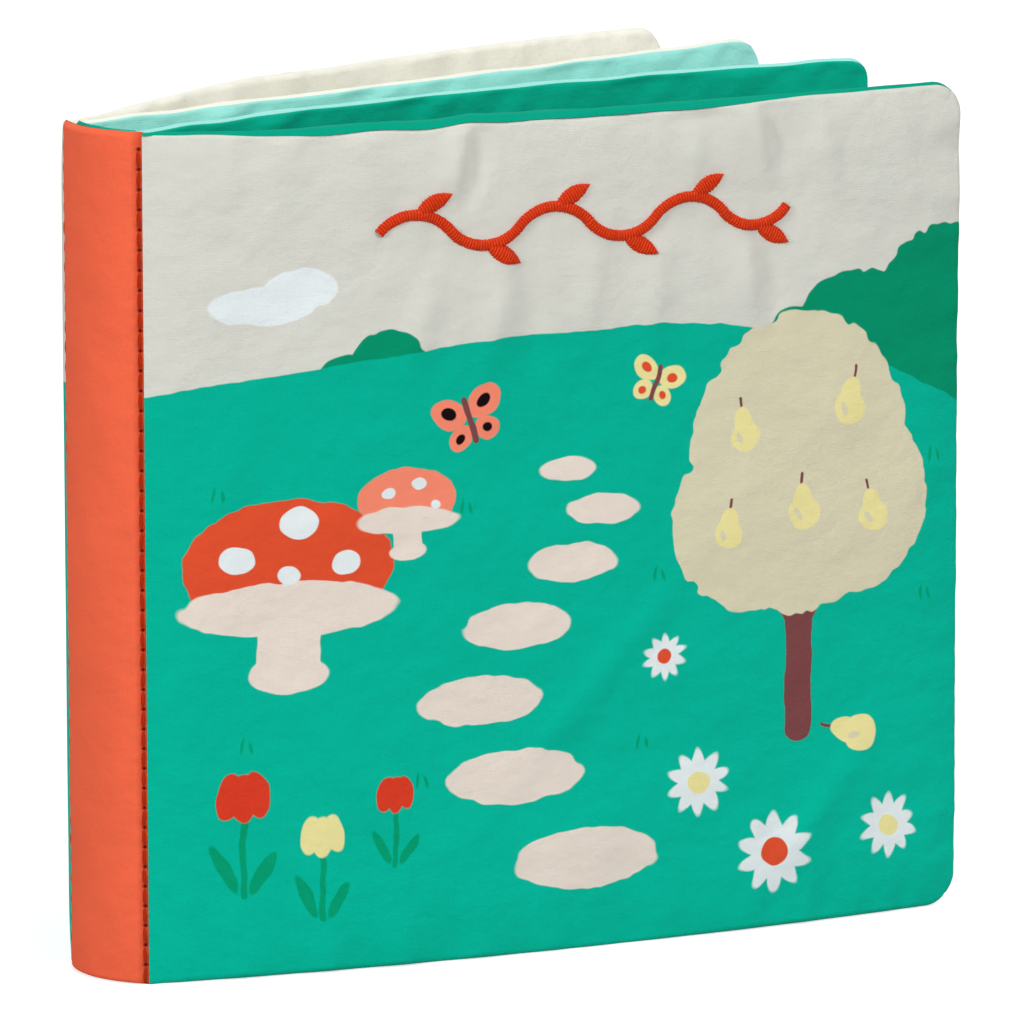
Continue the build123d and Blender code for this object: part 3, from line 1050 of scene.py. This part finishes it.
def arc_point(share, start, up):
    """A point on the arc of one swing."""
    radius = (SWING_LENGTH ** 2 / 4 + SWING_HEIGHT ** 2) / (2 * SWING_HEIGHT)
    spread = atan2(SWING_LENGTH / 2, radius - SWING_HEIGHT)
    angle = (share * 2 - 1) * spread
    rise = radius * cos(angle) - radius + SWING_HEIGHT
    return Vector((start + SWING_LENGTH / 2 + radius * sin(angle), GARLAND_LEVEL + up * rise, 0))


def cover_surface(along, up):
    """How far the print stands out under the embroidery."""
    u = along * MM / (front.length + front_pillow.slack)
    return front_pillow.place(u, 0.5, -1)[1] + front_wrinkle(along, up) * MM


def ridge(bm, path, seed):
    """Lays a rounded ridge of thread along a path of (point, half width)."""
    last = len(path) - 1
    travelled = [0.0]
    for (point, _), (following, _) in zip(path, path[1:]):
        travelled.append(travelled[-1] + (following - point).length)
    strip_grid = bmesh.ops.create_grid(bm, x_segments=last, y_segments=ACROSS_STEPS, size=0.5)
    flat = {}
    for vert in strip_grid["verts"]:
        index = round((vert.co.x + 0.5) * last)
        across = vert.co.y * 2
        point, half_width = path[index]
        direction = (path[min(index + 1, last)][0] - path[max(index - 1, 0)][0]).normalized()
        left = Vector((-direction.y, direction.x, 0))
        run = travelled[index]
        groove = 0.5 + 0.5 * cos(2 * pi * run / THREAD_PITCH)
        width = max(half_width, 0.03) * (1 - 0.07 * groove + 0.12 * ripple(run * 2.3, 0, seed))
        spot = point + left * across * width
        full = 0.55 + 0.45 * min(half_width / (RIDGE_WIDTH / 2), 1)
        crown = sqrt(max(1 - across * across, 0))
        height = RIDGE_HEIGHT * crown * full - 0.12 - 0.12 * groove
        side = cover_surface(spot.x, spot.y) + height * MM
        flat[vert] = (run, across * 2)
        vert.co = front.at(spot.x * MM, -side, spot.y * MM)
    write_cloth_map(bm, flat)


def swing_path(start, up):
    shares = [step / ARC_STEPS for step in range(ARC_STEPS + 1)]
    return [(arc_point(share, start, up), RIDGE_WIDTH / 2) for share in shares]


def leaf_path(base, lean, reach, belly):
    axis = Vector((cos(radians(lean)), sin(radians(lean)), 0))
    shares = [step / LEAF_STEPS for step in range(LEAF_STEPS + 1)]
    return [(base + axis * (t * reach), belly * 4 * t * (1 - t)) for t in shares]


embroidery = bmesh.new()
embroidery.loops.layers.uv.new("cloth")
for swing in range(SWINGS):
    up = 1 if swing % 2 == 0 else -1
    start = GARLAND_START + swing * SWING_LENGTH
    ridge(embroidery, swing_path(start, up), swing)
    ridge(embroidery, leaf_path(arc_point(0.5, start, up), up * 28, 9.0, 2.0), swing + 20)


def thread_paint(graph, place):
    """Painted highlight and shade on the threads that lie side by side across the ridge."""
    parts = graph.node("ShaderNodeSeparateXYZ", {0: place})
    # Painted highlight and shade: dark to light once per thread pitch, the pitch of the ridge's
    # grooves, with a noise in the light part.
    wave = graph.math("SINE", graph.math("MULTIPLY", parts.outputs[0], 2 * pi / THREAD_PITCH))
    share = graph.math("ADD", graph.math("MULTIPLY", wave, 0.5), 0.5)
    painted_highlight = graph.math("MULTIPLY", share, graph.noise(place, 1.1, 3.0))
    strength = graph.math("MULTIPLY", painted_highlight, 1.3, clamp=True)
    return graph.mix(strength, srgb(186, 32, 4), srgb(240, 80, 32))


satin = cloth_material("satin_thread", thread_paint, 0.15, 0.45)
embroidery_piece = new_piece(
    "front_cover_garland", embroidery, [satin], "thread", "front_cover_embroidery"
)
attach(embroidery_piece, "front_cover")

# %% [markdown]
# ## Floor and light
# The book stands on white paper in a white room. The paper takes only a faint shadow at the foot of
# the book. The camera sees the room as pure white, and everything else gets its real light.

# %% Floor
bm = bmesh.new()
bmesh.ops.create_grid(bm, x_segments=1, y_segments=1, size=6)
mesh = bpy.data.meshes.new("floor")
bm.to_mesh(mesh)
bm.free()
floor = bpy.data.objects.new("floor", mesh)
bpy.context.scene.collection.objects.link(floor)
paper = bpy.data.materials.new("paper")
paper.use_nodes = True
graph = Graph(paper.node_tree)
shader = paper.node_tree.nodes["Principled BSDF"]
shader.inputs["Base Color"].default_value = (0.6, 0.6, 0.6, 1)
shader.inputs["Roughness"].default_value = 1.0
glow = graph.node("ShaderNodeEmission", {"Color": (1, 1, 1, 1), "Strength": 0.66})
both = graph.node("ShaderNodeAddShader", {0: shader.outputs[0], 1: glow.outputs[0]})
seen = graph.node("ShaderNodeLightPath").outputs["Is Camera Ray"]
choice = graph.node("ShaderNodeMixShader", {0: seen, 1: shader.outputs[0], 2: both.outputs[0]})
graph.tree.links.new(choice.outputs[0], paper.node_tree.nodes["Material Output"].inputs["Surface"])
mesh.materials.append(paper)

# %% [markdown]
# Four large square lamps give soft light with no hard shadow. The key stands in front, one lamp
# lifts the spine's side, one the tops of the leaves, and one stands behind for the back cover.

# %% Room and lamps
LAMP_TARGET = Vector((0.08, 0, HEIGHT / 2))
world = bpy.data.worlds.new("world")
bpy.context.scene.world = world
world.use_nodes = True
graph = Graph(world.node_tree)
room = world.node_tree.nodes["Background"]
room.inputs["Color"].default_value = (1, 1, 1, 1)
room.inputs["Strength"].default_value = 0.34
white = graph.node("ShaderNodeBackground", {"Color": (1, 1, 1, 1), "Strength": 1.0})
seen = graph.node("ShaderNodeLightPath").outputs["Is Camera Ray"]
choice = graph.node("ShaderNodeMixShader", {0: seen, 1: room.outputs[0], 2: white.outputs[0]})
graph.tree.links.new(choice.outputs[0], world.node_tree.nodes["World Output"].inputs["Surface"])


def soft_lamp(name, place, size, power):
    """A large square lamp that looks at the middle of the book."""
    data = bpy.data.lights.new(name, "AREA")
    data.shape = "SQUARE"
    data.size = size
    data.energy = power
    lamp = bpy.data.objects.new(name, data)
    lamp.location = place
    aim = LAMP_TARGET - Vector(place)
    lamp.rotation_euler = aim.to_track_quat("-Z", "Y").to_euler()
    bpy.context.scene.collection.objects.link(lamp)


soft_lamp("key", (0.35, -1.65, 1.3), 0.5, 14.5)
soft_lamp("side", (-1.6, -0.7, 0.9), 0.4, 12.5)
soft_lamp("top", (0.2, -0.4, 1.9), 0.7, 8)
soft_lamp("behind", (0.5, 1.8, 1.2), 0.8, 9)
bpy.context.scene.view_settings.view_transform = "Standard"
